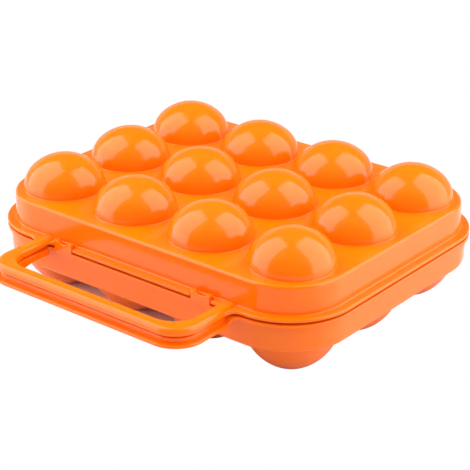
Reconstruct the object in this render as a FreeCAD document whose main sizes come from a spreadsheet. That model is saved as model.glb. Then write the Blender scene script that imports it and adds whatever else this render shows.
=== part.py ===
import FreeCAD, Part
import Sketcher
import math
import os

# Egg storage box: a tray with egg cups, a lid with matching domes, handle loops that close on each
# other at the front, two catch blocks beside the handle and a pinned hinge at the rear.
# Millimetres, +Z up, X along the handle side, the handle towards -Y.

SIZES = [
    ("column_pitch", 49.0, "cell to cell along the handle side"),
    ("row_pitch", 50.0, "cell to cell from front to rear"),
    ("wall", 1.4, "moulded wall"),
    ("end_margin", 26.5, "outer cell centre to the lid wall at the flange, along the handle side"),
    ("front_margin", 27.9, "outer cell centre to the lid wall at the flange, front and rear"),
    ("lid_corner", 30.5, "lid wall corner at the flange"),
    ("lid_draft", 2.0, "lid wall draft in degrees"),
    ("lid_edge_round", 1.5, "rounding between lid wall and deck"),
    ("lid_inner_round", 0.6, "the same edge inside"),
    ("lid_height", 15.85, "lid flange underside to deck top"),
    ("flange_reach", 4.4, "lid flange beyond the lid wall"),
    ("flange_thick", 1.4, "lid flange thickness"),
    ("dome_radius", 21.15, "dome outside radius at the deck"),
    ("dome_height", 17.4, "dome top above the deck"),
    ("dome_shoulder", 15.0, "dome outside curve near the deck"),
    ("parting_gap", 1.4, "base rim top to lid flange underside"),
    ("base_height", 15.75, "tray floor underside to rim top"),
    ("base_inset", 2.2, "rim edge to the tray wall at its foot"),
    ("base_draft", 3.0, "tray wall draft in degrees"),
    ("base_edge_round", 2.5, "rounding between tray wall and floor"),
    ("rim_thick", 1.6, "base rim thickness"),
    ("cup_depth", 19.5, "cup foot to tray floor underside"),
    ("cup_mouth", 21.9, "cup inside radius at the tray floor"),
    ("cup_foot", 6.6, "radius of the flat under a cup"),
    ("cup_curve", 27.4, "cup outside curve"),
    ("handle_half", 62.2, "handle loop outside, half width"),
    ("handle_offset", 1.2, "handle loop centre to the right of the middle"),
    ("handle_reach", 36.4, "handle loop beyond the flange"),
    ("bar_width", 7.5, "front bar of the loop"),
    ("arm_width", 7.5, "side arms of the loop"),
    ("loop_corner", 14.0, "loop outside corner"),
    ("grip_corner", 12.0, "loop inside corner"),
    ("root_blend", 5.0, "arm to flange, outside"),
    ("grip_blend", 1.5, "arm to flange, inside"),
    ("root_pad", 1.2, "depth of the arm's foot on the flange"),
    ("loop_drop", 1.0, "loops below the flange underside and the rim top"),
    ("lid_loop_rise", 1.2, "upper loop top above the flange"),
    ("lid_loop_round", 1.1, "upper loop top edges"),
    ("base_loop_lip", 1.2, "lower loop beyond the upper one"),
    ("base_loop_deep", 4.2, "lower loop thickness"),
    ("ledge_drop", 2.8, "lower loop top down to its outer ledge"),
    ("ledge_width", 2.5, "width of that ledge"),
    ("catch_gap", 4.4, "side of the grip opening to the catch block"),
    ("catch_width", 11.8, "catch block width"),
    ("catch_height", 4.75, "catch block above the base rim"),
    ("catch_scoop", 3.3, "radius of the hollow at the block's rear"),
    ("scoop_depth", 2.5, "depth of that hollow"),
    ("catch_play", 0.4, "clearance between catch block and lid"),
    ("hinge_place", 49.0, "hinge centre from the middle"),
    ("barrel_radius", 3.0, "hinge barrel"),
    ("barrel_play", 0.8, "hinge barrel to flange edge"),
    ("knuckle_length", 10.0, "lid knuckle"),
    ("ear_length", 6.0, "each base ear"),
    ("side_play", 0.4, "knuckle to ear"),
    ("pin_radius", 1.25, "hinge pin"),
    ("pin_seat_play", 0.02, "pin to base ear, radial"),
    ("pin_turn_play", 0.06, "pin to lid knuckle, radial"),
    ("overrun", 1.0, "how far cuts run past the faces"),
]

doc = FreeCAD.newDocument("EggBox")
sheet = doc.addObject("Spreadsheet::Sheet", "Sizes")
for row, (alias, value, note) in enumerate(SIZES, start=1):
    sheet.set(f"A{row}", note)
    sheet.set(f"B{row}", str(value))
    sheet.setAlias(f"B{row}", alias)
doc.recompute()


def size(words):
    """Turns a sum of sheet names into an expression on the sheet."""
    out = []
    for word in words.replace("(", " ( ").replace(")", " ) ").split():
        out.append(f"Sizes.{word}" if word in NAMES else word)
    return "(" + " ".join(out) + ")"


def number(expression):
    return float(sheet.evalExpression(expression))


NAMES = {alias for alias, value, note in SIZES}
columns, rows = 4, 3

# levels above the cup feet
floor_level = size("cup_depth")
rim_top = size("cup_depth + base_height")
rim_bottom = size("cup_depth + base_height - rim_thick")
flange_bottom = size("cup_depth + base_height + parting_gap")
flange_top = size("cup_depth + base_height + parting_gap + flange_thick")
deck_top = size("cup_depth + base_height + parting_gap + lid_height")
axis_level = size("cup_depth + base_height + parting_gap / 2")
lid_loop_bottom = size("cup_depth + base_height + parting_gap - loop_drop")
base_loop_top = size("cup_depth + base_height - loop_drop")

# half sizes in plan, about the middle of the cells
outer_column, outer_row = (columns - 1) / 2, (rows - 1) / 2
lid_x = size(f"{outer_column} * column_pitch + end_margin")
lid_y = size(f"{outer_row} * row_pitch + front_margin")
rim_x = size(f"{outer_column} * column_pitch + end_margin + flange_reach")
rim_y = size(f"{outer_row} * row_pitch + front_margin + flange_reach")
rim_corner = size("lid_corner + flange_reach")
tray_x = f"({rim_x} - Sizes.base_inset)"
tray_y = f"({rim_y} - Sizes.base_inset)"
tray_corner = f"({rim_corner} - Sizes.base_inset)"
hinge_y = f"({rim_y} + Sizes.barrel_play + Sizes.barrel_radius)"

# the origin is under the middle of the whole outline, handle and hinge included
front_reach = f"({rim_y} + Sizes.handle_reach + Sizes.base_loop_lip)"
rear_reach = f"({hinge_y} + Sizes.barrel_radius)"
shift_y = f"(({front_reach} - {rear_reach}) / 2)"


def new_body(label, x="0", y="0", z="0"):
    body = doc.addObject("PartDesign::Body", label)
    body.Label = label
    body.setExpression("Placement.Base.x", x)
    body.setExpression("Placement.Base.y", f"{shift_y} + {y}")
    body.setExpression("Placement.Base.z", z)
    return body


def new_sketch(body, name, plane="XY_Plane", level=None):
    sketch = body.newObject("Sketcher::SketchObject", name)
    support = next(f for f in body.Origin.OriginFeatures if f.Role == plane)
    sketch.AttachmentSupport = (support, [""])
    sketch.MapMode = "FlatFace"
    if level:
        sketch.setExpression("AttachmentOffset.Base.z", level)
    doc.recompute()
    return sketch


def hold(sketch, kind, first, second, expression):
    """A distance constraint along one axis from the origin, bound to an expression."""
    value = number(expression)
    ends = (-1, 1, first, second)
    if value < 0:
        ends = (first, second, -1, 1)
        expression, value = f"-({expression})", -value
    index = sketch.addConstraint(Sketcher.Constraint(kind, *ends, value))
    sketch.setExpression(f"Constraints[{index}]", expression)


def hold_radius(sketch, arc, expression):
    index = sketch.addConstraint(Sketcher.Constraint("Radius", arc, number(expression)))
    sketch.setExpression(f"Constraints[{index}]", expression)


def tie(sketch, *ends, kind="Coincident"):
    sketch.addConstraint(Sketcher.Constraint(kind, *ends))


def flat_point(x, y):
    return FreeCAD.Vector(x, y, 0)


def outline(sketch, sides, radii):
    """A closed outline of upright and level sides; radii rounds the corner after each side."""
    count = len(sides)
    values = [number(expression) for axis, expression in sides]
    corners = []
    for i in range(count):
        a, b = i, (i + 1) % count
        corners.append((values[a], values[b]) if sides[a][0] == "x" else (values[b], values[a]))
    heading = []
    for i in range(count):
        start, end = corners[i - 1], corners[i]
        length = math.dist(start, end)
        heading.append(((end[0] - start[0]) / length, (end[1] - start[1]) / length))
    cut = [number(radius) if radius else 0.0 for radius in radii]
    lines = []
    for i in range(count):
        (sx, sy), (ex, ey), (hx, hy) = corners[i - 1], corners[i], heading[i]
        begin = flat_point(sx + hx * cut[i - 1], sy + hy * cut[i - 1])
        finish = flat_point(ex - hx * cut[i], ey - hy * cut[i])
        line = sketch.addGeometry(Part.LineSegment(begin, finish))
        axis, expression = sides[i]
        tie(sketch, line, kind="Vertical" if axis == "x" else "Horizontal")
        hold(sketch, "DistanceX" if axis == "x" else "DistanceY", line, 1, expression)
        lines.append(line)
    for i in range(count):
        here, after = lines[i], lines[(i + 1) % count]
        if not radii[i]:
            tie(sketch, here, 2, after, 1)
            continue
        (cx, cy), (hx, hy), (nx, ny) = corners[i], heading[i], heading[(i + 1) % count]
        left_turn = hx * ny - hy * nx > 0
        mx, my = cx - hx * cut[i] + nx * cut[i], cy - hy * cut[i] + ny * cut[i]
        into = math.atan2(cy - hy * cut[i] - my, cx - hx * cut[i] - mx)
        out_of = math.atan2(cy + ny * cut[i] - my, cx + nx * cut[i] - mx)
        circle = Part.Circle(flat_point(mx, my), FreeCAD.Vector(0, 0, 1), cut[i])
        span = (into, out_of) if left_turn else (out_of, into)
        arc = sketch.addGeometry(Part.ArcOfCircle(circle, *span))
        first, last = (1, 2) if left_turn else (2, 1)
        tie(sketch, here, 2, arc, first, kind="Tangent")
        tie(sketch, arc, last, after, 1, kind="Tangent")
        hold_radius(sketch, arc, radii[i])


def rounded_rectangle(sketch, half_x, half_y, corner):
    sides = [("x", half_x), ("y", half_y), ("x", f"-{half_x}"), ("y", f"-{half_y}")]
    outline(sketch, sides, [corner] * len(sides))


def circle_at(sketch, x, y, radius):
    spot = sketch.addGeometry(Part.Circle(flat_point(number(x), number(y)),
                                          FreeCAD.Vector(0, 0, 1), number(radius)))
    for kind, place in (("DistanceX", x), ("DistanceY", y)):
        if number(place):
            hold(sketch, kind, spot, 3, place)
        else:
            tie(sketch, spot, 3, -2 if kind == "DistanceX" else -1, kind="PointOnObject")
    hold_radius(sketch, spot, radius)


def pad(body, sketch, name, length, taper=None):
    feature = body.newObject("PartDesign::Pad", name)
    feature.Profile = sketch
    feature.setExpression("Length", length)
    if taper:
        feature.setExpression("TaperAngle", taper)
    doc.recompute()
    return feature


def pocket(body, sketch, name, length, reverse=False, taper=None):
    """A blind cut; the volume shows that it points into the solid."""
    before = body.Shape.Volume
    feature = body.newObject("PartDesign::Pocket", name)
    feature.Profile = sketch
    feature.setExpression("Length", length)
    feature.Reversed = reverse
    if taper:
        feature.setExpression("TaperAngle", taper)
    doc.recompute()
    if not body.Shape.Volume < before:
        raise RuntimeError(f"{body.Label}: {name} cuts nothing")
    return feature


def edges_at(feature, level, accept=lambda edge: True):
    """Names of the edges that lie in one level plane."""
    names = []
    for i, edge in enumerate(feature.Shape.Edges, start=1):
        box = edge.BoundBox
        if abs(box.ZMin - level) < slack and abs(box.ZMax - level) < slack and accept(edge):
            names.append(f"Edge{i}")
    return names


def fillet(body, feature, name, edges, radius):
    rounding = body.newObject("PartDesign::Fillet", name)
    rounding.Base = (feature, edges)
    rounding.setExpression("Radius", radius)
    doc.recompute()
    return rounding


def hollow(body, name, level, half_x, half_y, corner, depth, taper, floor, rounding, upward=False):
    """A tapered cut that leaves a shell of one wall, with its far edge rounded at a floor level."""
    sketch = new_sketch(body, name + "_outline", level=level)
    rounded_rectangle(sketch, half_x, half_y, corner)
    cut = pocket(body, sketch, name + "_cut", depth, upward, taper)
    edges = edges_at(cut, number(floor), lambda edge: edge.BoundBox.XMax < number(half_x))
    return fillet(body, cut, name + "_edge", edges, rounding)


slack_share = 0.001
slack = number("Sizes.wall") * slack_share
cells = [(c, r) for r in range(rows) for c in range(columns)]
row_names = ["front", "middle", "rear"]


def cell_x(column):
    return f"({column - outer_column} * Sizes.column_pitch)"


def cell_y(row):
    return f"({row - outer_row} * Sizes.row_pitch)"


def cell_holes(body, level, radius, depth):
    """One hole per cell through a floor or deck, cut down from a level."""
    sketch = new_sketch(body, body.Label + "_holes", level=level)
    for column, row in cells:
        circle_at(sketch, cell_x(column), cell_y(row), radius)
    pocket(body, sketch, body.Label + "_hole_cut", depth)


def make_tray():
    body = new_body("base_tray")
    sketch = new_sketch(body, "tray_outline", level=floor_level)
    rounded_rectangle(sketch, tray_x, tray_y, tray_corner)
    block = pad(body, sketch, "tray_block", "Sizes.base_height", "Sizes.base_draft")
    under = edges_at(block, number(floor_level))
    fillet(body, block, "tray_edge", under, "Sizes.base_edge_round")
    sketch = new_sketch(body, "rim_outline", level=rim_bottom)
    rounded_rectangle(sketch, rim_x, rim_y, rim_corner)
    pad(body, sketch, "tray_rim", "Sizes.rim_thick")
    flare = "(Sizes.base_height * tan(Sizes.base_draft * 1 deg) - Sizes.wall)"
    hollow(body, "tray_inside", rim_top, f"({tray_x} + {flare})", f"({tray_y} + {flare})",
           f"({tray_corner} + {flare})", size("base_height - wall"), "-Sizes.base_draft",
           size("cup_depth + wall"), size("base_edge_round - wall"))
    above, deep = size("cup_depth + wall + overrun"), size("wall + 2 * overrun")
    cell_holes(body, above, "Sizes.cup_mouth", deep)
    return body


def make_cup(column, row):
    body = new_body(f"cup_{row_names[row]}_{column + 1}", cell_x(column), cell_y(row))
    sketch = new_sketch(body, body.Label + "_profile", "XZ_Plane")
    foot, deep, thick = number("Sizes.cup_foot"), number("Sizes.cup_depth"), number("Sizes.wall")
    mouth, curve = number("Sizes.cup_mouth"), number("Sizes.cup_curve")

    def side(low, high, radius):
        """The arc of a radius that bulges outwards from low to high."""
        half = (high - low) * 0.5
        rise = FreeCAD.Vector(-half.y, half.x, 0).normalize() * math.sqrt(radius ** 2 - half.Length ** 2)
        centre = low + half + rise
        spread = [math.atan2((p - centre).y, (p - centre).x) for p in (low, high)]
        return sketch.addGeometry(Part.ArcOfCircle(
            Part.Circle(centre, FreeCAD.Vector(0, 0, 1), radius), *spread))

    under = sketch.addGeometry(Part.LineSegment(flat_point(0, 0), flat_point(foot, 0)))
    outside = side(flat_point(foot, 0), flat_point(mouth + thick, deep), curve)
    brim = sketch.addGeometry(Part.LineSegment(flat_point(mouth + thick, deep), flat_point(mouth, deep)))
    inside = side(flat_point(foot, thick), flat_point(mouth, deep), curve - thick)
    inner_floor = sketch.addGeometry(Part.LineSegment(flat_point(foot, thick), flat_point(0, thick)))
    middle = sketch.addGeometry(Part.LineSegment(flat_point(0, thick), flat_point(0, 0)))
    tie(sketch, under, 1, -1, 1)
    tie(sketch, under, kind="Horizontal")
    tie(sketch, under, 2, outside, 1)
    tie(sketch, outside, 2, brim, 1)
    tie(sketch, brim, kind="Horizontal")
    tie(sketch, brim, 2, inside, 2)
    tie(sketch, inside, 1, inner_floor, 1)
    tie(sketch, inner_floor, kind="Horizontal")
    tie(sketch, inner_floor, 2, middle, 1)
    tie(sketch, middle, 2, -1, 1)
    tie(sketch, middle, kind="Vertical")
    hold(sketch, "DistanceX", under, 2, "Sizes.cup_foot")
    hold(sketch, "DistanceX", inside, 1, "Sizes.cup_foot")
    hold(sketch, "DistanceY", middle, 1, "Sizes.wall")
    hold(sketch, "DistanceY", brim, 1, "Sizes.cup_depth")
    hold(sketch, "DistanceX", brim, 1, size("cup_mouth + wall"))
    hold(sketch, "DistanceX", brim, 2, "Sizes.cup_mouth")
    hold_radius(sketch, outside, "Sizes.cup_curve")
    hold_radius(sketch, inside, size("cup_curve - wall"))
    turn(body, sketch)
    return body


def turn(body, sketch):
    feature = body.newObject("PartDesign::Revolution", body.Label + "_turned")
    feature.Profile = sketch
    feature.ReferenceAxis = (sketch, ["V_Axis"])
    feature.Angle = 360
    doc.recompute()
    return feature


def make_dome(column, row):
    body = new_body(f"dome_{row_names[row]}_{column + 1}", cell_x(column), cell_y(row), deck_top)
    sketch = new_sketch(body, body.Label + "_profile", "XZ_Plane")
    wide, tall = number("Sizes.dome_radius"), number("Sizes.dome_height")
    shoulder, thick = number("Sizes.dome_shoulder"), number("Sizes.wall")
    crown = (wide ** 2 + tall ** 2 - 2 * wide * shoulder) / (2 * (tall - shoulder))
    hub, peak = flat_point(wide - shoulder, 0), flat_point(0, tall - crown)
    lean = math.atan2((hub - peak).y, (hub - peak).x)
    up = FreeCAD.Vector(0, 0, 1)

    def pair(inset):
        low = Part.ArcOfCircle(Part.Circle(hub, up, shoulder - inset), 0, lean)
        high = Part.ArcOfCircle(Part.Circle(peak, up, crown - inset), lean, math.pi / 2)
        return sketch.addGeometry(low), sketch.addGeometry(high)

    low, high = pair(0)
    low_in, high_in = pair(thick)
    foot = sketch.addGeometry(Part.LineSegment(flat_point(wide - thick, 0), flat_point(wide, 0)))
    middle = sketch.addGeometry(Part.LineSegment(flat_point(0, tall), flat_point(0, tall - thick)))
    tie(sketch, low, 3, -1, kind="PointOnObject")
    tie(sketch, high, 3, -2, kind="PointOnObject")
    tie(sketch, low, 2, high, 1, kind="Tangent")
    tie(sketch, low_in, 2, high_in, 1, kind="Tangent")
    tie(sketch, low, 3, low_in, 3)
    tie(sketch, high, 3, high_in, 3)
    tie(sketch, foot, 2, low, 1)
    tie(sketch, foot, 1, low_in, 1)
    tie(sketch, foot, 1, -1, kind="PointOnObject")
    tie(sketch, foot, 2, -1, kind="PointOnObject")
    tie(sketch, middle, 1, high, 2)
    tie(sketch, middle, 2, high_in, 2)
    tie(sketch, middle, 1, -2, kind="PointOnObject")
    tie(sketch, middle, 2, -2, kind="PointOnObject")
    hold(sketch, "DistanceX", foot, 2, "Sizes.dome_radius")
    hold(sketch, "DistanceY", middle, 1, "Sizes.dome_height")
    hold_radius(sketch, low, "Sizes.dome_shoulder")
    hold_radius(sketch, low_in, size("dome_shoulder - wall"))
    turn(body, sketch)
    return body


def make_lid():
    body = new_body("lid_shell")
    sketch = new_sketch(body, "lid_outline", level=flange_bottom)
    rounded_rectangle(sketch, lid_x, lid_y, "Sizes.lid_corner")
    block = pad(body, sketch, "lid_block", "Sizes.lid_height", "-Sizes.lid_draft")
    upper = edges_at(block, number(deck_top))
    fillet(body, block, "lid_edge", upper, "Sizes.lid_edge_round")
    sketch = new_sketch(body, "flange_outline", level=flange_bottom)
    rounded_rectangle(sketch, rim_x, rim_y, rim_corner)
    pad(body, sketch, "lid_flange", "Sizes.flange_thick")
    hollow(body, "lid_inside", flange_bottom, f"({lid_x} - Sizes.wall)", f"({lid_y} - Sizes.wall)",
           "(Sizes.lid_corner - Sizes.wall)", size("lid_height - wall"), "-Sizes.lid_draft",
           f"({deck_top} - Sizes.wall)", "Sizes.lid_inner_round", upward=True)
    notches = new_sketch(body, "catch_notches", level=f"({flange_top} + Sizes.overrun)")
    for side in ("-", ""):
        near = f"({side}{catch_place} - Sizes.catch_width / 2 - Sizes.catch_play)"
        far = f"({side}{catch_place} + Sizes.catch_width / 2 + Sizes.catch_play)"
        outline(notches, [("x", far), ("y", f"-{lid_y}"), ("x", near),
                          ("y", f"-({rim_y} + Sizes.overrun)")], [None] * 4)
    pocket(body, notches, "catch_notch_cut", size("flange_thick + 2 * overrun"))
    opening, deep = size("dome_radius - wall"), size("wall + 2 * overrun")
    cell_holes(body, f"({deck_top} + Sizes.overrun)", opening, deep)
    return body


def loop_right(reach):
    return ("x", f"(Sizes.handle_offset + {reach})")


def loop_left(reach):
    return ("x", f"(Sizes.handle_offset - {reach})")


def ahead(reach):
    return ("y", f"-{reach}")


grip_half = size("handle_half - arm_width")
bar_rear = f"({rim_y} + Sizes.handle_reach - Sizes.bar_width)"
catch_place = f"({grip_half} - Sizes.catch_gap - Sizes.catch_width / 2)"


def loop_sides(lip):
    """The sides of a handle loop, with its two feet on the flange, grown outwards by a lip."""
    wide, long = f"(Sizes.handle_half + {lip})", f"({rim_y} + Sizes.handle_reach + {lip})"
    toe, step = f"({wide} + Sizes.root_blend + Sizes.root_pad)", f"({rim_y} + Sizes.root_pad)"
    heel = f"({grip_half} - Sizes.grip_blend - Sizes.root_pad)"
    corner = f"(Sizes.loop_corner + {lip})"
    sides = [ahead(rim_y), loop_right(toe), ahead(step), loop_right(wide), ahead(long), loop_left(wide),
             ahead(step), loop_left(toe), ahead(rim_y), loop_left(heel), ahead(step),
             loop_left(grip_half), ahead(bar_rear), loop_right(grip_half), ahead(step), loop_right(heel)]
    radii = [None, None, "Sizes.root_blend", corner, corner, "Sizes.root_blend", None, None, None,
             None, "Sizes.grip_blend", "Sizes.grip_corner", "Sizes.grip_corner", "Sizes.grip_blend",
             None, None]
    return sides, radii


def arch_sides():
    """The raised top of the upper loop, whose arms cross the flange to the lid wall."""
    long = f"({rim_y} + Sizes.handle_reach)"
    sides = [ahead(lid_y), loop_right("Sizes.handle_half"), ahead(long), loop_left("Sizes.handle_half"),
             ahead(lid_y), loop_left(grip_half), ahead(bar_rear), loop_right(grip_half)]
    radii = [None, "Sizes.loop_corner", "Sizes.loop_corner", None, None, "Sizes.grip_corner",
             "Sizes.grip_corner", None]
    return sides, radii


def make_lid_handle():
    body = new_body("lid_handle")
    sketch = new_sketch(body, "lid_loop_outline", level=lid_loop_bottom)
    outline(sketch, *loop_sides("0"))
    pad(body, sketch, "lid_loop", size("loop_drop + flange_thick"))
    arch = new_sketch(body, "lid_loop_arch", level=flange_top)
    outline(arch, *arch_sides())
    raised = pad(body, arch, "lid_loop_raised", "Sizes.lid_loop_rise")
    top = number(f"{flange_top} + Sizes.lid_loop_rise")
    wall_face = -number(lid_y) - slack
    free = edges_at(raised, top, lambda edge: edge.BoundBox.YMin < wall_face)
    fillet(body, raised, "lid_loop_edge", free, "Sizes.lid_loop_round")
    return body


def make_base_handle():
    body = new_body("base_handle")
    low = f"({base_loop_top} - Sizes.base_loop_deep)"
    sketch = new_sketch(body, "base_loop_outline", level=low)
    outline(sketch, *loop_sides("Sizes.base_loop_lip"))
    pad(body, sketch, "base_loop", size("base_loop_deep - ledge_drop"))
    raised = new_sketch(body, "base_loop_top", level=f"({base_loop_top} - Sizes.ledge_drop)")
    outline(raised, *loop_sides("(Sizes.base_loop_lip - Sizes.ledge_width)"))
    pad(body, raised, "base_loop_raised", "Sizes.ledge_drop")
    return body


def make_catch(label, side):
    body = new_body(label, f"({side}{catch_place})", f"-{rim_y}", rim_top)
    sketch = new_sketch(body, label + "_outline")
    half = "(Sizes.catch_width / 2)"
    deep = size("flange_reach - catch_play")
    outline(sketch, [("x", half), ("y", deep), ("x", f"-{half}"), ("y", "0")], [None] * 4)
    pad(body, sketch, label + "_block", "Sizes.catch_height")
    scoop = new_sketch(body, label + "_scoop", level=size("catch_height + overrun"))
    circle_at(scoop, "0", deep, "Sizes.catch_scoop")
    pocket(body, scoop, label + "_scoop_cut", size("scoop_depth + overrun"))
    return body


def make_barrel(label, x, length, arm_low, arm_thick, play):
    """A hinge barrel with a flat arm to the rim or flange; arm levels are from the hinge axis."""
    body = new_body(label, x, rim_y, axis_level)
    reach = size("barrel_play + barrel_radius")
    half = f"({length} / 2)"
    arm = new_sketch(body, label + "_arm_outline", "YZ_Plane", level=f"-{half}")
    arm_high = f"({arm_low} + {arm_thick})"
    outline(arm, [("x", reach), ("y", arm_high), ("x", "0"), ("y", arm_low)], [None] * 4)
    pad(body, arm, label + "_arm", length)
    tube = new_sketch(body, label + "_tube_outline", "YZ_Plane", level=f"-{half}")
    circle_at(tube, reach, "0", "Sizes.barrel_radius")
    pad(body, tube, label + "_tube", length)
    bore = new_sketch(body, label + "_bore_outline", "YZ_Plane", level=f"-{half}")
    circle_at(bore, reach, "0", f"(Sizes.pin_radius + {play})")
    pocket(body, bore, label + "_bore", length, reverse=True)
    return body


def make_hinge(name, side):
    middle = f"({side}Sizes.hinge_place)"
    offset = size("(knuckle_length + ear_length) / 2 + side_play")
    lid_arm = "(Sizes.parting_gap / 2)"
    base_arm = size("0 - parting_gap / 2 - rim_thick")
    pieces = [make_barrel(f"lid_knuckle_{name}", middle, "Sizes.knuckle_length", lid_arm,
                          "Sizes.flange_thick", "Sizes.pin_turn_play")]
    for end, sign in (("a", "-"), ("b", "+")):
        place = f"({middle} {sign} {offset})"
        pieces.append(make_barrel(f"base_ear_{name}_{end}", place, "Sizes.ear_length", base_arm,
                                  "Sizes.rim_thick", "Sizes.pin_seat_play"))
    pin = new_body(f"hinge_pin_{name}", middle, hinge_y, axis_level)
    half = size("knuckle_length / 2 + side_play + ear_length")
    sketch = new_sketch(pin, pin.Label + "_outline", "YZ_Plane", level=f"-{half}")
    circle_at(sketch, "0", "0", "Sizes.pin_radius")
    pad(pin, sketch, pin.Label + "_rod", f"(2 * {half})")
    return pieces + [pin]


parts = [make_tray(), make_base_handle(), make_lid(), make_lid_handle()]
parts += [make_cup(column, row) for column, row in cells]
parts += [make_dome(column, row) for column, row in cells]
parts += [make_catch("catch_left", "-"), make_catch("catch_right", "")]
parts += make_hinge("left", "-") + make_hinge("right", "")

doc.recompute()
for thing in doc.Objects:
    if {"Invalid", "Error"} & set(thing.State):
        raise RuntimeError(f"{thing.Label} is {thing.State}")
for part in parts:
    if part.Shape.isNull() or not part.Shape.isValid() or len(part.Shape.Solids) != 1:
        raise RuntimeError(f"{part.Label} has no single valid solid")

os.makedirs("parts", exist_ok=True)
for part in parts:
    part.Shape.exportStep(f"parts/{part.Label}.step")
    box = part.Shape.BoundBox
    print(f"{part.Label}: {part.Shape.Volume:.1f} mm3, z {box.ZMin:.2f} to {box.ZMax:.2f}")
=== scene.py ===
import math
import bpy
import bmesh
from mathutils import Matrix, Vector


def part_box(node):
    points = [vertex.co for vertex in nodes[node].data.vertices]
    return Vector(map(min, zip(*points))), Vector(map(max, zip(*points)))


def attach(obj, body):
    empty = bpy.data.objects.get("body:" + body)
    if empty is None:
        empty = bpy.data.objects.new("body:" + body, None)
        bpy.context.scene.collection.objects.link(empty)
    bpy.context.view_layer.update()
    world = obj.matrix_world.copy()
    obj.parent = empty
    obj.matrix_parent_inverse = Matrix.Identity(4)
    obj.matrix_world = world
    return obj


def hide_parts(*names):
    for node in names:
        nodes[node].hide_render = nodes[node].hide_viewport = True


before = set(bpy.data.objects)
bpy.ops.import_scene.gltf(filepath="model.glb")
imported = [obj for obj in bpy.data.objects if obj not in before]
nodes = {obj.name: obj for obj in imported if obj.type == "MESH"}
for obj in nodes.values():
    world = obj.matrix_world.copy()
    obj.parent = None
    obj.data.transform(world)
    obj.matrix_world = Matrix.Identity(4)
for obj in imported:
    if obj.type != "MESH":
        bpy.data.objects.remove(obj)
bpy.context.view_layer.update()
print("frame loaded:", len(nodes), "nodes")

# shapes are modelled in millimetres about the middle of the cells, then placed in the frame
trayLow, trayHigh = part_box("base_tray")
middleY = (trayLow.y + trayHigh.y) / 2
millimetre = 0.001
placing = Matrix.Translation((0, middleY, 0)) @ Matrix.Scale(millimetre, 4)
rowNames = ["front", "middle", "rear"]
columns = 4
cellNames = [f"{row}_{column}" for row in rowNames for column in range(1, columns + 1)]
tiny = 0.001  # millimetres, for finding points on a level
speck = 0.0001  # millimetres, the shortest edge that is kept
sharpTurn = 0.6  # radians between faces
roundProfile = 0.5  # bevels are arcs of a circle
wallSteps = 18  # to each corner of a wall
white = (1, 1, 1, 1)


def cellSpots(kind):
    ends = [placing.inverted() @ (sum(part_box(f"{kind}_{name}"), Vector()) / 2)
            for name in (cellNames[0], cellNames[-1])]
    first, span, rows = ends[0], ends[1] - ends[0], len(rowNames)
    return [Vector((first.x + span.x * column / (columns - 1), first.y + span.y * row / (rows - 1), 0))
            for row in range(rows) for column in range(columns)]


def roundedOutline(corners, segments):
    sketch = bmesh.new()
    spots = [sketch.verts.new((x, y, 0)) for x, y, rounding in corners]
    sketch.faces.new(spots)
    for spot, (x, y, rounding) in zip(spots, corners):
        if rounding:
            bmesh.ops.bevel(sketch, geom=[spot], offset=rounding, offset_type="OFFSET", segments=segments,
                            profile=roundProfile, affect="VERTICES", material=-1, clamp_overlap=False)
    sketch.faces.ensure_lookup_table()
    points = [vert.co.copy() for vert in sketch.faces[0].verts]
    sketch.free()
    return points


def roundedRectangle(halfX, halfY, rounding):
    corners = [(-halfX, -halfY, rounding), (halfX, -halfY, rounding),
               (halfX, halfY, rounding), (-halfX, halfY, rounding)]
    return roundedOutline(corners, wallSteps)


def flatFace(bm, points, level):
    face = bm.faces.new([bm.verts.new((p.x, p.y, level)) for p in points])
    face.normal_update()
    if face.normal.z < 0:
        face.normal_flip()
    return face


# each step goes in by its first number and up by its second
def insetSteps(bm, face, steps):
    for inward, upward in steps:
        bmesh.ops.inset_region(bm, faces=[face], thickness=inward, depth=upward,
                               use_even_offset=True, use_boundary=True)


# the same, with the last face left open
def ringSteps(bm, face, steps):
    insetSteps(bm, face, steps)
    bmesh.ops.delete(bm, geom=[face], context="FACES_ONLY")


def quarterSteps(radius, count, upward=1, wallFirst=True):
    turn = [math.pi / 2 * i / count for i in range(count + 1)]
    along = [radius * math.sin(a) for a in turn]
    across = [radius * (1 - math.cos(a)) for a in turn]
    inward, rising = (across, along) if wallFirst else (along, across)
    return [(inward[i + 1] - inward[i], upward * (rising[i + 1] - rising[i])) for i in range(count)]


def arcPoints(centre, radius, start, end, count):
    turn = [math.radians(start + (end - start) * i / count) for i in range(count + 1)]
    return [(centre[0] + radius * math.cos(a), centre[1] + radius * math.sin(a)) for a in turn]


def spinProfile(bm, profile, spot, steps):
    points = [bm.verts.new((spot.x + r, spot.y, z)) for r, z in profile]
    edges = [bm.edges.new(pair) for pair in zip(points, points[1:])]
    bmesh.ops.spin(bm, geom=points + edges, cent=(spot.x, spot.y, 0), axis=(0, 0, 1),
                   angle=math.tau, steps=steps, use_merge=True)


def fillLevel(bm, level):
    edges = [e for e in bm.edges if e.is_boundary and all(abs(v.co.z - level) < tiny for v in e.verts)]
    bmesh.ops.triangle_fill(bm, edges=edges, use_beauty=True)


def smoothFall(y, start, end):
    share = min(max((start - y) / (start - end), 0), 1)
    return share * share * (3 - 2 * share)


# a closed shell that rises from an outline
def riseShell(corners, low, steps, segments):
    bm = bmesh.new()
    face = flatFace(bm, roundedOutline(corners, segments), low)
    bottom = list(face.verts)
    insetSteps(bm, face, steps)
    bm.faces.new(bottom)
    return bm


def addObject(bm, name):
    mesh = bpy.data.meshes.new(name)
    bm.to_mesh(mesh)
    bm.free()
    thing = bpy.data.objects.new(name, mesh)
    bpy.context.scene.collection.objects.link(thing)
    return thing


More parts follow.
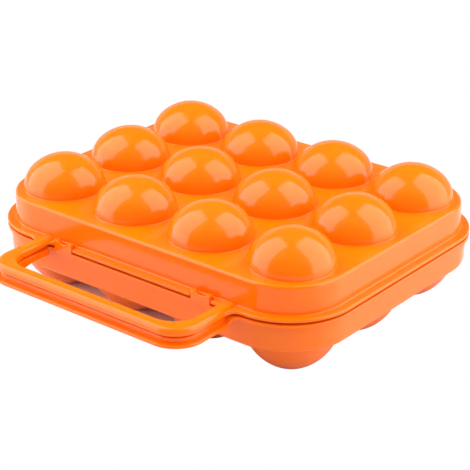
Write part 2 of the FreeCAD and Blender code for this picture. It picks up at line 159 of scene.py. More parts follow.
# two closed shells become one, with nothing left inside
def joinShells(first, second):
    holders = []
    for bm in (first, second):
        bmesh.ops.remove_doubles(bm, verts=bm.verts, dist=tiny)
        bmesh.ops.recalc_face_normals(bm, faces=bm.faces)
        holders.append(addObject(bm, "shell"))
    join = holders[0].modifiers.new("join", "BOOLEAN")
    join.operation = "UNION"
    join.solver = "EXACT"
    join.object = holders[1]
    whole = holders[0].evaluated_get(bpy.context.evaluated_depsgraph_get())
    joined = bmesh.new()
    joined.from_mesh(whole.to_mesh())
    for holder in holders:
        mesh = holder.data
        bpy.data.objects.remove(holder)
        bpy.data.meshes.remove(mesh)
    return joined


def finishPiece(bm, name, body, material, replaced):
    bmesh.ops.remove_doubles(bm, verts=bm.verts, dist=tiny)
    bmesh.ops.dissolve_degenerate(bm, edges=bm.edges, dist=speck)
    bmesh.ops.recalc_face_normals(bm, faces=bm.faces)
    bmesh.ops.transform(bm, matrix=placing, verts=bm.verts)
    for face in bm.faces:
        face.smooth = True
    for edge in bm.edges:
        edge.smooth = edge.calc_face_angle(0) < sharpTurn
    piece = addObject(bm, name)
    piece.data.materials.append(material)
    shading = piece.modifiers.new("evenShading", "WEIGHTED_NORMAL")
    shading.keep_sharp = True
    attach(piece, body)
    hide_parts(*replaced)
    print("piece", name, len(piece.data.polygons), "faces")


plasticFinish = {
    "colour": (0.99, 0.170, 0.002, 1),
    "deepColour": (0.98, 0.154, 0.001, 1),
    "roughLow": 0.10,
    "roughHigh": 0.17,
    "patchScale": 60.0,
    "patchDetail": 3,
    "peelScale": 900.0,
    "peelDetail": 2,
    "peelHeight": 0.00002,
    "peelStrength": 0.25,
    "scatter": 0.2,
    "mirror": 0.38,
    "scatterRadius": (1.0, 0.3, 0.08),
    "scatterScale": 0.003,
}


def orangePlastic(name, finish):
    material = bpy.data.materials.new(name)
    material.use_nodes = True
    tree = material.node_tree
    shader = tree.nodes["Principled BSDF"]
    place = tree.nodes.new("ShaderNodeTexCoord")
    patch = tree.nodes.new("ShaderNodeTexNoise")
    patch.inputs["Scale"].default_value = finish["patchScale"]
    patch.inputs["Detail"].default_value = finish["patchDetail"]
    tint = tree.nodes.new("ShaderNodeMix")
    tint.data_type = "RGBA"
    tint.inputs["A"].default_value = finish["deepColour"]
    tint.inputs["B"].default_value = finish["colour"]
    rough = tree.nodes.new("ShaderNodeMapRange")
    rough.inputs["To Min"].default_value = finish["roughLow"]
    rough.inputs["To Max"].default_value = finish["roughHigh"]
    peel = tree.nodes.new("ShaderNodeTexNoise")
    peel.inputs["Scale"].default_value = finish["peelScale"]
    peel.inputs["Detail"].default_value = finish["peelDetail"]
    bump = tree.nodes.new("ShaderNodeBump")
    bump.inputs["Strength"].default_value = finish["peelStrength"]
    bump.inputs["Distance"].default_value = finish["peelHeight"]
    shader.inputs["Specular IOR Level"].default_value = finish["mirror"]
    shader.inputs["Subsurface Weight"].default_value = finish["scatter"]
    shader.inputs["Subsurface Radius"].default_value = finish["scatterRadius"]
    shader.inputs["Subsurface Scale"].default_value = finish["scatterScale"]
    tree.links.new(place.outputs["Object"], patch.inputs["Vector"])
    tree.links.new(place.outputs["Object"], peel.inputs["Vector"])
    tree.links.new(patch.outputs["Fac"], tint.inputs["Factor"])
    tree.links.new(tint.outputs["Result"], shader.inputs["Base Color"])
    tree.links.new(patch.outputs["Fac"], rough.inputs["Value"])
    tree.links.new(rough.outputs["Result"], shader.inputs["Roughness"])
    tree.links.new(peel.outputs["Fac"], bump.inputs["Height"])
    tree.links.new(bump.outputs["Normal"], shader.inputs["Normal"])
    return material


lidPlastic = orangePlastic("lidPlastic", plasticFinish)
basePlastic = orangePlastic("basePlastic", plasticFinish)
pinPlastic = orangePlastic("pinPlastic", plasticFinish)
print("materials made")

# lid: flange with the upper handle loop, wall, deck and domes, outside and inside
lid = {
    "flangeHalf": (104.4, 82.3),
    "flangeCorner": 34.9,
    "flangeLow": 36.65,
    "flangeTop": 38.05,
    "flangeRound": 0.7,
    "loopRight": 63.4,
    "loopLeft": -61.0,
    "loopFront": -118.7,
    "loopCorner": 14.0,
    "rootRound": 6.0,
    "loopDrop": 1.0,
    "dropStart": -83.0,
    "dropEnd": -90.0,
    "gripRight": 55.9,
    "gripLeft": -53.5,
    "gripFront": -111.2,
    "gripCorner": 12.0,
    "gripRoot": 1.5,
    "gripRound": 0.25,
    "notchNear": 38.1,
    "notchFar": 50.7,
    "notchRear": -79.0,
    "notchRound": 0.3,
    "wallHalf": (100.0, 77.9),
    "wallCorner": 30.5,
    "wallFoot": 0.6,
    "draft": 2.0,
    "deckTop": 52.5,
    "deckRound": 1.5,
    "innerRound": 0.6,
    "archLow": 37.0,
    "archTop": 39.25,
    "archRear": -77.0,
    "archRound": (2.6, 2.2),
    "archGrow": 0.03,
    "skin": 1.4,
    "domeRadius": 21.15,
    "domeHeight": 17.4,
    "domeShoulder": 15.0,
    "domeFoot": 0.5,
    "mouthRound": 0.8,
    "domeSteps": 72,
    "shoulderSteps": 14,
    "crownSteps": 12,
    "outlineSteps": 16,
    "gripSteps": 8,
    "edgeSteps": 4,
    "softSteps": 2,
    "footSteps": 3,
    "deckSteps": 10,
    "innerSteps": 6,
    "archSteps": 8,
}


def lidGripOutline():
    front, rear, root = lid["gripFront"], -lid["flangeHalf"][1], lid["gripRoot"]
    near, far, deep, small = lid["notchNear"], lid["notchFar"], lid["notchRear"], lid["notchRound"]
    grow = lid["gripRound"]
    left, right, corner = lid["gripLeft"] - grow, lid["gripRight"] + grow, lid["gripCorner"]
    front, rear, deep, near, far = front - grow, rear + grow, deep + grow, near - grow, far + grow
    return [(left, front, corner), (right, front, corner), (right, rear, root),
            (far, rear, small), (far, deep, small), (near, deep, small), (near, rear, small),
            (-near, rear, small), (-near, deep, small), (-far, deep, small), (-far, rear, small),
            (left, rear, root)]


def loopOutline(part):
    halfX, halfY = part["flangeHalf"]
    wide, root, corner = part["flangeCorner"], part["rootRound"], part["loopCorner"]
    left, right, front = part["loopLeft"], part["loopRight"], part["loopFront"]
    return [(-halfX, -halfY, wide), (left, -halfY, root), (left, front, corner), (right, front, corner),
            (right, -halfY, part.get("rootRoundRight", root)), (halfX, -halfY, wide), (halfX, halfY, wide),
            (-halfX, halfY, wide)]


def domeProfile(inset):
    wide, tall, shoulder = lid["domeRadius"], lid["domeHeight"], lid["domeShoulder"]
    crown = (wide ** 2 + tall ** 2 - 2 * wide * shoulder) / (2 * (tall - shoulder))
    deck = lid["deckTop"]
    lean = math.degrees(math.atan2(crown - tall, wide - shoulder))
    low = arcPoints((wide - shoulder, deck), shoulder - inset, 0, lean, lid["shoulderSteps"])
    high = arcPoints((0, deck + tall - crown), crown - inset, lean, 90, lid["crownSteps"])
    return low + high[1:]


# the rounded top of the upper loop, whose arms cross the flange into the lid wall
def makeArch():
    grow, rear, front = lid["archGrow"], lid["archRear"], lid["loopFront"]
    left, right, corner = lid["loopLeft"] - grow, lid["loopRight"] + grow, lid["loopCorner"]
    gripLeft, gripRight, gripFront = lid["gripLeft"] + grow, lid["gripRight"] - grow, lid["gripFront"] + grow
    inner = lid["gripCorner"]
    corners = [(left, rear, 0), (left, front - grow, corner), (right, front - grow, corner), (right, rear, 0),
               (gripRight, rear, 0), (gripRight, gripFront, inner), (gripLeft, gripFront, inner),
               (gripLeft, rear, 0)]
    across, upward = lid["archRound"]
    steps = [(inward * across, rise * upward) for inward, rise in quarterSteps(1, lid["archSteps"])]
    straight = (0, lid["archTop"] - lid["archLow"] - upward)
    return riseShell(corners, lid["archLow"], [straight] + steps, lid["outlineSteps"])


def makeLid():
    bm = bmesh.new()
    low, top, deck, skin = lid["flangeLow"], lid["flangeTop"], lid["deckTop"], lid["skin"]
    edge, slope = lid["flangeRound"], math.tan(math.radians(lid["draft"]))
    rim = flatFace(bm, roundedOutline(loopOutline(lid), lid["outlineSteps"]), low)
    ringSteps(bm, rim, [(0, top - low - edge)] + quarterSteps(edge, lid["edgeSteps"]))
    grip = flatFace(bm, roundedOutline(lidGripOutline(), lid["gripSteps"]), top)
    soft = lid["gripRound"]
    ringSteps(bm, grip, quarterSteps(soft, lid["softSteps"], -1, False) + [(0, low - top + soft)])
    # outside: foot, wall, edge
    foot, halfX, halfY = lid["wallFoot"], *lid["wallHalf"]
    wall = flatFace(bm, roundedRectangle(halfX + foot, halfY + foot, lid["wallCorner"] + foot), top)
    rise = deck - lid["deckRound"] - top - foot
    ringSteps(bm, wall, quarterSteps(foot, lid["footSteps"], 1, False) + [(rise * slope, rise)]
              + quarterSteps(lid["deckRound"], lid["deckSteps"]))
    # inside: wall and edge
    inner = flatFace(bm, roundedRectangle(halfX - skin, halfY - skin, lid["wallCorner"] - skin), low)
    innerRound = lid["innerRound"]
    rise = deck - skin - innerRound - low
    ringSteps(bm, inner, [(rise * slope, rise)] + quarterSteps(innerRound, lid["innerSteps"]))
    mouth, footRound = lid["mouthRound"], lid["domeFoot"]
    edgeSteps = lid["edgeSteps"]
    outside = arcPoints((lid["domeRadius"] + footRound, deck + footRound), footRound, 270, 180, edgeSteps)
    outside += [p for p in domeProfile(0) if p[1] > deck + footRound]
    innerFoot = lid["domeRadius"] - skin
    inside = arcPoints((innerFoot + mouth, deck - skin + mouth), mouth, 270, 180, edgeSteps)
    inside += domeProfile(skin)
    for spot in cellSpots("dome"):
        spinProfile(bm, outside, spot, lid["domeSteps"])
        spinProfile(bm, inside, spot, lid["domeSteps"])
    bmesh.ops.remove_doubles(bm, verts=bm.verts, dist=tiny)
    for level in (low, top, deck - skin, deck):
        fillLevel(bm, level)
    for vert in bm.verts:
        if vert.co.z < low + tiny:
            vert.co.z -= lid["loopDrop"] * smoothFall(vert.co.y, lid["dropStart"], lid["dropEnd"])
    bm = joinShells(bm, makeArch())
    replaced = ["lid_shell", "lid_handle"] + [f"dome_{name}" for name in cellNames]
    finishPiece(bm, "lidMoulding", "lid", lidPlastic, replaced)


makeLid()

# base: rim with the lower handle loop, tray wall, floor and egg cups, outside and inside
base = {
    "flangeHalf": (104.4, 82.3),
    "flangeCorner": 34.9,
    "rimLow": 33.65,
    "rimTop": 35.25,
    "rimRound": 0.5,
    "loopRight": 64.6,
    "loopLeft": -62.2,
    "loopFront": -119.9,
    "loopCorner": 15.2,
    "rootRound": 6.0,
    "rootRoundRight": 4.8,
    "ledgeLevel": 31.45,
    "loopLow": 30.05,
    "ridgeTop": 34.25,
    "ridgeInset": 2.5,
    "ridgeRound": 0.5,
    "ridgeSeat": 0.3,
    "ridgeGap": 0.05,
    "dropStart": -82.6,
    "dropEnd": -88.5,
    "gripRight": 55.9,
    "gripLeft": -53.5,
    "gripFront": -111.2,
    "gripCorner": 12.0,
    "gripRoot": 1.5,
    "footHalf": (102.2, 80.1),
    "footCorner": 32.7,
    "draft": 3.0,
    "floorLow": 19.5,
    "floorRound": 2.5,
    "skin": 1.4,
    "lipRound": 0.4,
    "cupMouth": 21.9,
    "cupFoot": 6.6,
    "cupCurve": 27.4,
    "cupRoot": 0.6,
    "cupRootEase": 0.3,
    "cupFootEase": 0.4,
    "cupLip": 0.7,
    "cupSteps": 72,
    "cupCurveSteps": 22,
    "outlineSteps": 16,
    "gripSteps": 8,
    "edgeSteps": 4,
    "floorSteps": 8,
    "lipSteps": 3,
    "innerSteps": 5,
    "ridgeSteps": 3,
    "ridgeOutlineSteps": 12,
}


def chordArc(low, high, radius, count):
    middle = (Vector(low) + Vector(high)) / 2
    half = (Vector(high) - Vector(low)) / 2
    side = Vector((-half.y, half.x)).normalized() * math.sqrt(radius ** 2 - half.length_squared)
    centre = middle + side
    start = math.degrees(math.atan2(low[1] - centre.y, low[0] - centre.x))
    end = math.degrees(math.atan2(high[1] - centre.y, high[0] - centre.x))
    return arcPoints(centre, radius, start, end, count)


def makeBase():
    bm = bmesh.new()
    low, top, floor, skin = base["rimLow"], base["rimTop"], base["floorLow"], base["skin"]
    slope, edge = math.tan(math.radians(base["draft"])), base["rimRound"]
    rim = flatFace(bm, roundedOutline(loopOutline(base), base["outlineSteps"]), low)
    ringSteps(bm, rim, [(0, top - low - edge)] + quarterSteps(edge, base["edgeSteps"]))
    left, right, front = base["gripLeft"], base["gripRight"], base["gripFront"]
    rear, corner, root = -base["flangeHalf"][1], base["gripCorner"], base["gripRoot"]
    gripCorners = [(left, front, corner), (right, front, corner), (right, rear, root), (left, rear, root)]
    grip = flatFace(bm, roundedOutline(gripCorners, base["gripSteps"]), top)
    ringSteps(bm, grip, [(0, low - top)])
    # outside: wall down to the floor
    halfX, halfY = base["footHalf"]
    flare = (low - floor) * slope
    wall = flatFace(bm, roundedRectangle(halfX + flare, halfY + flare, base["footCorner"] + flare), low)
    fall = low - floor - base["floorRound"]
    ringSteps(bm, wall, [(fall * slope, -fall)] + quarterSteps(base["floorRound"], base["floorSteps"], -1))
    # inside: lip, wall and floor edge
    lip, innerRound = base["lipRound"], base["floorRound"] - skin
    grow = (top - floor) * slope - skin + lip
    inner = flatFace(bm, roundedRectangle(halfX + grow, halfY + grow, base["footCorner"] + grow), top)
    fall = top - lip - floor - skin - innerRound
    ringSteps(bm, inner, quarterSteps(lip, base["lipSteps"], -1, False) + [(fall * slope, -fall)]
              + quarterSteps(innerRound, base["innerSteps"], -1))
    mouth, foot, curve = base["cupMouth"], base["cupFoot"], base["cupCurve"]
    cupLip, cupRoot, flat = base["cupLip"], base["cupRoot"], foot - base["cupFootEase"]
    rootEase = cupRoot * base["cupRootEase"]
    outside = chordArc((foot, 0), (mouth + skin, floor), curve, base["cupCurveSteps"])
    outside = [(0, 0), (flat, 0)] + outside[:-1]
    outside += [(mouth + skin, floor - cupRoot), (mouth + skin + rootEase, floor - rootEase),
                (mouth + skin + cupRoot, floor)]
    inside = [(0, skin), (flat, skin)]
    inside += chordArc((foot, skin), (mouth, floor), curve - skin, base["cupCurveSteps"])
    inside += arcPoints((mouth + cupLip, floor + skin - cupLip), cupLip, 180, 90, base["edgeSteps"])
    for spot in cellSpots("cup"):
        spinProfile(bm, outside, spot, base["cupSteps"])
        spinProfile(bm, inside, spot, base["cupSteps"])
    bmesh.ops.remove_doubles(bm, verts=bm.verts, dist=tiny)
    for level in (low, top, floor, floor + skin):
        fillLevel(bm, level)
    middle = (low + top) / 2
    for vert in bm.verts:
        fallShare = smoothFall(vert.co.y, base["dropStart"], base["dropEnd"])
        if vert.co.z > low - tiny and fallShare:
            drop = top - base["ledgeLevel"] if vert.co.z > middle else low - base["loopLow"]
            vert.co.z -= drop * fallShare
    bm = joinShells(bm, makeRidge(gripCorners))
    replaced = ["base_tray", "base_handle"] + [f"cup_{name}" for name in cellNames]
    finishPiece(bm, "baseMoulding", "base", basePlastic, replaced)


# the raised inner part of the lower loop, with a ledge left outside it
def makeRidge(gripCorners):
    inset, front, rear = base["ridgeInset"], base["loopFront"], base["dropStart"]
    left, right = base["loopLeft"] + inset, base["loopRight"] - inset
    corner = base["loopCorner"] - inset
    (gripLeft, gripFront, gripCorner), (gripRight, _, _) = gripCorners[:2]
    gap = base["ridgeGap"]
    gripLeft, gripRight, gripFront = gripLeft - gap, gripRight + gap, gripFront - gap
    corners = [(left, rear, 0), (left, front + inset, corner), (right, front + inset, corner),
               (right, rear, 0), (gripRight, rear, 0), (gripRight, gripFront, gripCorner),
               (gripLeft, gripFront, gripCorner), (gripLeft, rear, 0)]
    soft = base["ridgeRound"]
    seat = base["ledgeLevel"] - base["ridgeSeat"]
    rise = base["ridgeTop"] - seat - soft
    steps = [(0, rise)] + quarterSteps(soft, base["ridgeSteps"])
    return riseShell(corners, seat, steps, base["ridgeOutlineSteps"])


makeBase()

catch = {
    "halfWidth": 5.9,
    "front": -82.3,
    "rear": -79.2,
    "low": 35.1,
    "shelf": 37.5,
    "top": 40.0,
    "hornWidth": 2.2,
    "frontWall": 1.3,
    "scoopRound": 1.6,
    "dip": 1.3,
    "cornerRound": 0.4,
    "topRound": 0.35,
    "overlap": 0.4,
    "inside": 0.02,
    "topSteps": 3,
    "cornerSteps": 5,
    "dipSteps": 4,
    "backShares": (0.5, 0, -0.5),
}


# a low block and, on it, a dipped wall with two horns around a scoop, open to the rear
def makeCatch(node):
    spot = placing.inverted() @ ((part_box(node)[0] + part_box(node)[1]) / 2)
    half, front, rear, soft = catch["halfWidth"], catch["front"], catch["rear"], catch["cornerRound"]
    left, right, low, top = spot.x - half, spot.x + half, catch["low"], catch["top"]
    horn, scoop, inner = catch["hornWidth"], catch["scoopRound"], front + catch["frontWall"]
    reach, flat = half - horn, half - horn - scoop
    count = catch["dipSteps"]
    ahead = [(spot.x + reach * step / count, front, 0) for step in range(-count, count + 1)]
    behind = [(spot.x + flat * share, inner, 0) for share in catch["backShares"]]
    upper = [(left, front, soft), *ahead, (right, front, soft), (right, rear, soft),
             (right - horn, rear, soft), (right - horn, inner, scoop), *behind,
             (left + horn, inner, scoop), (left + horn, rear, soft), (left, rear, soft)]
    crest = catch["topRound"]
    steps = [(0, top - low - crest)] + quarterSteps(crest, catch["topSteps"])
    wall = riseShell(upper, low, steps, catch["cornerSteps"])
    bmesh.ops.triangulate(wall, faces=[face for face in wall.faces if len(face.verts) > 4])
    for vert in wall.verts:
        if vert.co.z > low + tiny:  # the top dips between the horns
            vert.co.z -= catch["dip"] * max(1 - ((vert.co.x - spot.x) / reach) ** 2, 0)
    near, seat = catch["inside"], catch["overlap"]
    shelf = [(left + seat, front + seat, 0), (right - seat, front + seat, 0), (right - seat, rear - near, 0),
             (left + seat, rear - near, 0)]
    block = riseShell(shelf, low + near, [(0, catch["shelf"] - low)], segments=1)
    finishPiece(joinShells(wall, block), node.replace("catch_", "catchBlock."), "base",
                basePlastic, [node])


for node in ("catch_left", "catch_right"):
    makeCatch(node)

hinge = {
    "axisY": 86.1,
    "axisLevel": 35.95,
    "barrel": 3.0,
    "bore": 1.3,
    "armStart": 81.8,
    "boreSteps": 32,
    "armLow": 0.7,
    "lidArm": 1.4,
    "baseArm": 1.6,
    "armRound": 0.3,
    "shoulderRound": 1.2,
    "neckRound": 0.6,
    "shoulderReach": 0.55,
    "neckReach": 0.95,
    "fullRound": 0.98,
    "endRound": 0.3,
    "endTurn": 1.2,
    "endSteps": 2,
    "outlineSteps": 8,
    "pinRadius": 1.25,
    "pinProud": 0.2,
    "pinEnd": [(0, 1), (0.6, 0.8), (0.9, 0.3), (1, -1)],
    "pinSteps": 32,
}


# the side outline of a barrel with its arm; it is drawn for the lid and turned over for the base
def barrelOutline(armThick):
    y, r, start, low = hinge["axisY"], hinge["barrel"], hinge["armStart"], hinge["armLow"]
    high, soft = low + armThick, hinge["shoulderRound"]
    full, shoulder, neck = r * hinge["fullRound"], y - r * hinge["shoulderReach"], y - r * hinge["neckReach"]
    return [(start, low, 0), (y - r, low, hinge["armRound"]), (y - r, -r, full), (y + r, -r, full),
            (y + r, r, full), (shoulder, r, soft), (neck, high, hinge["neckRound"]), (start, high, 0)]


def makeBarrel(node, body, material, armThick, side):
    bm = bmesh.new()
    low, high = [placing.inverted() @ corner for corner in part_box(node)]
    points = roundedOutline(barrelOutline(armThick), hinge["outlineSteps"])
    ring = [bm.verts.new((p.x, p.y, 0)) for p in points]
    for pair in zip(ring, ring[1:] + ring[:1]):
        bm.edges.new(pair)
    bmesh.ops.create_circle(bm, cap_ends=False, radius=hinge["bore"], segments=hinge["boreSteps"],
                            matrix=Matrix.Translation((hinge["axisY"], 0, 0)))
    bmesh.ops.triangle_fill(bm, edges=bm.edges, use_beauty=True)
    section = list(bm.faces)
    grown = bmesh.ops.extrude_face_region(bm, geom=section)["geom"]
    moved = [item for item in grown if isinstance(item, bmesh.types.BMVert)]
    bmesh.ops.translate(bm, verts=moved, vec=(0, 0, high.x - low.x))
    bmesh.ops.recalc_face_normals(bm, faces=bm.faces)
    rims = [e for e in bm.edges if len(e.link_faces) == 2 and e.calc_face_angle() > hinge["endTurn"]
            and abs(e.verts[0].co.z - e.verts[1].co.z) < tiny]
    bmesh.ops.bevel(bm, geom=rims, offset=hinge["endRound"], offset_type="OFFSET",
                    segments=hinge["endSteps"], profile=roundProfile, affect="EDGES", material=-1,
                    clamp_overlap=True)
    # drawn axes y, z, x become the frame's
    turn = Matrix(((0, 0, 1, low.x), (1, 0, 0, 0), (0, side, 0, hinge["axisLevel"]), (0, 0, 0, 1)))
    bmesh.ops.transform(bm, matrix=turn, verts=bm.verts)
    words = node.split("_")
    finishPiece(bm, words[1] + "".join(w.capitalize() for w in words[2:]) + "." + words[0], body,
                material, [node])


for node in nodes:
    if node.startswith("lid_knuckle"):
        makeBarrel(node, "lid", lidPlastic, hinge["lidArm"], 1)
    elif node.startswith("base_ear"):
        makeBarrel(node, "base", basePlastic, hinge["baseArm"], -1)


def makePin(node):
    bm = bmesh.new()
    low, high = [placing.inverted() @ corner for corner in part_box(node)]
    half, radius, proud = (high.x - low.x) / 2, hinge["pinRadius"], hinge["pinProud"]
    end = [(radius * across, half + proud * along) for across, along in hinge["pinEnd"]]
    profile = end + [(r, -z) for r, z in reversed(end)]
    spinProfile(bm, profile, Vector(), hinge["pinSteps"])
    turn = Matrix.Translation(((low.x + high.x) / 2, hinge["axisY"], hinge["axisLevel"]))
    bmesh.ops.transform(bm, matrix=turn @ Matrix.Rotation(math.pi / 2, 4, "Y"), verts=bm.verts)
    finishPiece(bm, node.replace("hinge_pin_", "hingePin."), "base", pinPlastic, [node])


for node in ("hinge_pin_left", "hinge_pin_right"):
    makePin(node)

studio = {
    "floorColour": (0.62, 0.62, 0.62, 1),
    # floor colour under the box, whiter than elsewhere: painted light that lifts the shade there
    "shadeColour": (0.95, 0.95, 0.95, 1),
    "floorSize": 6.0,
    "floorLevel": -0.0001,
    "floorRough": 0.35,
    "floorSpecular": 0.8,
    "shadeZones": [(0.0, 0.0, 0.068, 0.043), (-0.03, -0.05, 0.044, 0.014)],
    "shadeEdge": (-0.005, 0.005),
    "worldLight": 0.44,
    "mirrorLow": 0.05,
    "mirrorHigh": 0.6,
    "mirrorBand": (0.15, 0.5),
    "mirrorStart": -0.1,
    "mirrorEnd": 0.9,
    "cameraPlace": (0.473705, -0.570975, 0.370194),
    "cameraTilt": 65.577,
    "cameraTurn": 39.005,
    "lens": 122.37,
    "sensor": 36.0,
}


def mathNode(tree, operation, first, second):
    node = tree.nodes.new("ShaderNodeMath")
    node.operation = operation
    for socket, value in zip(node.inputs, (first, second)):
        if isinstance(value, (int, float)):
            socket.default_value = value
        elif value is not None:
            tree.links.new(value, socket)
    return node.outputs[0]


# white to the camera away from the box; under it real shade, lifted by painted light: the floor colour is
# whiter there than elsewhere
def paleGround(name):
    material = bpy.data.materials.new(name)
    material.use_nodes = True
    tree = material.node_tree
    shader = tree.nodes["Principled BSDF"]
    shader.inputs["Roughness"].default_value = studio["floorRough"]
    shader.inputs["Specular IOR Level"].default_value = studio["floorSpecular"]
    glow = tree.nodes.new("ShaderNodeEmission")
    glow.inputs["Color"].default_value = white
    spread = tree.nodes.new("ShaderNodeTexCoord")
    axes = tree.nodes.new("ShaderNodeSeparateXYZ")
    tree.links.new(spread.outputs["Object"], axes.inputs[0])
    beyond = []
    for x, y, halfX, halfY in studio["shadeZones"]:
        sides = []
        for axis, place, half in (("X", x, halfX), ("Y", y + middleY, halfY)):
            offset = mathNode(tree, "SUBTRACT", axes.outputs[axis], place)
            sides.append(mathNode(tree, "SUBTRACT", mathNode(tree, "ABSOLUTE", offset, None), half))
        beyond.append(mathNode(tree, "MAXIMUM", *sides))
    away = tree.nodes.new("ShaderNodeMapRange")
    away.interpolation_type = "SMOOTHSTEP"
    away.inputs["From Min"].default_value, away.inputs["From Max"].default_value = studio["shadeEdge"]
    tree.links.new(mathNode(tree, "MINIMUM", *beyond), away.inputs["Value"])
    ground = tree.nodes.new("ShaderNodeMix")
    ground.data_type = "RGBA"
    # inside the shade zones the floor is whiter: painted light in the shade
    ground.inputs["A"].default_value = studio["shadeColour"]
    ground.inputs["B"].default_value = studio["floorColour"]
    tree.links.new(away.outputs["Result"], ground.inputs["Factor"])
    tree.links.new(ground.outputs["Result"], shader.inputs["Base Color"])
    path = tree.nodes.new("ShaderNodeLightPath")
    mix = tree.nodes.new("ShaderNodeMixShader")
    share = mathNode(tree, "MULTIPLY", away.outputs["Result"], path.outputs["Is Camera Ray"])
    tree.links.new(share, mix.inputs["Fac"])
    tree.links.new(shader.outputs[0], mix.inputs[1])
    tree.links.new(glow.outputs[0], mix.inputs[2])
    oneSided(tree, mix)
    return material


# clear from behind
def oneSided(tree, front):
    clear = tree.nodes.new("ShaderNodeBsdfTransparent")
    side = tree.nodes.new("ShaderNodeNewGeometry")
    mix = tree.nodes.new("ShaderNodeMixShader")
    tree.links.new(side.outputs["Backfacing"], mix.inputs["Fac"])
    tree.links.new(front.outputs[0], mix.inputs[1])
    tree.links.new(clear.outputs[0], mix.inputs[2])
    tree.links.new(mix.outputs[0], tree.nodes["Material Output"].inputs["Surface"])


def makeFloor():
    bm = bmesh.new()
    bmesh.ops.create_grid(bm, x_segments=1, y_segments=1, size=studio["floorSize"],
                          matrix=Matrix.Translation((0, 0, studio["floorLevel"])))
    floor = addObject(bm, "studioFloor")
    floor.data.materials.append(paleGround("paleGround"))


# white behind the box, dim on the camera's side, so that the plastic mirrors the studio softly
def makeWorld():
    world = bpy.data.worlds.new("studioWorld")
    bpy.context.scene.world = world
    world.use_nodes = True
    tree = world.node_tree
    background = tree.nodes["Background"]
    background.inputs["Color"].default_value = white
    place = tree.nodes.new("ShaderNodeTexCoord")
    axes = tree.nodes.new("ShaderNodeSeparateXYZ")
    tree.links.new(place.outputs["Generated"], axes.inputs[0])
    turn = math.radians(studio["cameraTurn"])
    behind = mathNode(tree, "ADD", mathNode(tree, "MULTIPLY", axes.outputs["X"], -math.sin(turn)),
                      mathNode(tree, "MULTIPLY", axes.outputs["Y"], math.cos(turn)))
    mirror = tree.nodes.new("ShaderNodeMapRange")
    mirror.interpolation_type = "SMOOTHSTEP"
    mirror.inputs["From Min"].default_value = studio["mirrorStart"]
    mirror.inputs["From Max"].default_value = studio["mirrorEnd"]
    mirror.inputs["To Min"].default_value = studio["mirrorLow"]
    mirror.inputs["To Max"].default_value = studio["mirrorHigh"]
    low = tree.nodes.new("ShaderNodeMapRange")
    low.interpolation_type = "SMOOTHSTEP"
    low.inputs["From Min"].default_value, low.inputs["From Max"].default_value = studio["mirrorBand"]
    low.inputs["To Min"].default_value = 1.0
    low.inputs["To Max"].default_value = 0.0
    tree.links.new(axes.outputs["Z"], low.inputs["Value"])
    tree.links.new(mathNode(tree, "MULTIPLY", behind, low.outputs["Result"]), mirror.inputs["Value"])
    path = tree.nodes.new("ShaderNodeLightPath")
    soft = mathNode(tree, "MULTIPLY", path.outputs["Is Diffuse Ray"], studio["worldLight"])
    shine = mathNode(tree, "MULTIPLY", path.outputs["Is Glossy Ray"], mirror.outputs["Result"])
    seen = mathNode(tree, "MAXIMUM", path.outputs["Is Camera Ray"], path.outputs["Is Transmission Ray"])
    strength = mathNode(tree, "MAXIMUM", mathNode(tree, "MAXIMUM", soft, shine), seen)
    tree.links.new(strength, background.inputs["Strength"])


# two tall panels left and right of the box, leaning in over it
# a corner is its heading in degrees and its share of the height
softboxes = [
    {"name": "softboxLeft", "heading": -61.0, "corners": [(-20, 0), (-77, 0), (-110, 0.71), (-29, 1)]},
    {"name": "softboxRight", "heading": 120.0, "corners": [(84, 0), (144, 0), (180, 0.77), (102, 1)]},
]
panel = {
    "footReach": 0.75,
    "headReach": 0.10,
    "height": 0.9,
    "glow": 2.8,
    "lampWidth": 0.95,
    "power": 8.5,
}


def panelGlow(name):
    material = bpy.data.materials.new(name)
    material.use_nodes = True
    tree = material.node_tree
    glow = tree.nodes.new("ShaderNodeEmission")
    glow.inputs["Strength"].default_value = panel["glow"]
    oneSided(tree, glow)
    return material


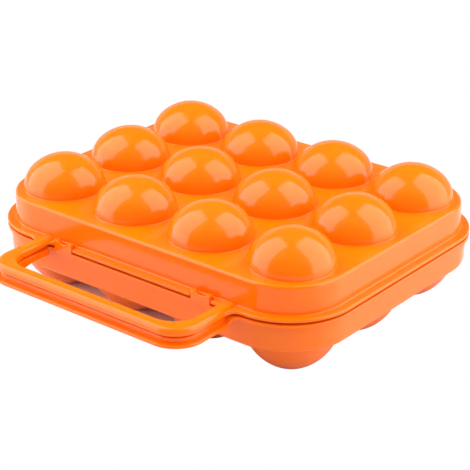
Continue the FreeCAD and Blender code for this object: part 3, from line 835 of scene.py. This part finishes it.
def makePanel(box, centre, outward, along, material):
    bm = bmesh.new()
    spots, turn = [], math.radians(box["heading"])
    for heading, share in box["corners"]:
        reach = panel["footReach"] + (panel["headReach"] - panel["footReach"]) * share
        across = reach * math.tan(math.radians(heading) - turn)
        spots.append(centre + outward * reach + along * across + Vector((0, 0, panel["height"] * share)))
    face = bm.faces.new([bm.verts.new(spot) for spot in spots])
    face.normal_update()
    if face.normal.dot(centre - face.calc_center_median()) < 0:
        face.normal_flip()
    sheet = addObject(bm, box["name"] + "Panel")
    sheet.data.materials.append(material)
    sheet.visible_camera = False
    sheet.visible_diffuse = False
    sheet.visible_shadow = False


# each softbox is a lamp, and a panel that the plastic mirrors
def makeLights():
    centre = Vector((0, middleY, 0))
    material = panelGlow("panelGlow")
    for box in softboxes:
        turn = math.radians(box["heading"])
        outward = Vector((math.sin(turn), -math.cos(turn), 0))
        along = Vector((math.cos(turn), math.sin(turn), 0))
        makePanel(box, centre, outward, along, material)
        foot = centre + outward * panel["footReach"]
        head = centre + outward * panel["headReach"] + Vector((0, 0, panel["height"]))
        facing = (head - foot).cross(along)
        if facing.z > 0:
            facing.negate()
        lamp = bpy.data.lights.new(box["name"], "AREA")
        lamp.shape = "RECTANGLE"
        lamp.size, lamp.size_y = panel["lampWidth"], (head - foot).length
        lamp.energy = panel["power"]
        light = bpy.data.objects.new(box["name"], lamp)
        light.location = (foot + head) / 2
        light.rotation_euler = facing.to_track_quat("-Z", "Y").to_euler()
        light.visible_glossy = False
        bpy.context.scene.collection.objects.link(light)


def makeCamera():
    eye = bpy.data.cameras.new("photoCamera")
    eye.lens = studio["lens"]
    eye.sensor_width = studio["sensor"]
    camera = bpy.data.objects.new("photoCamera", eye)
    camera.location = studio["cameraPlace"]
    camera.rotation_euler = (math.radians(studio["cameraTilt"]), 0, math.radians(studio["cameraTurn"]))
    bpy.context.scene.collection.objects.link(camera)
    bpy.context.scene.camera = camera


makeFloor()
makeWorld()
makeLights()
makeCamera()
bpy.context.scene.view_settings.view_transform = "Standard"
print("studio ready")
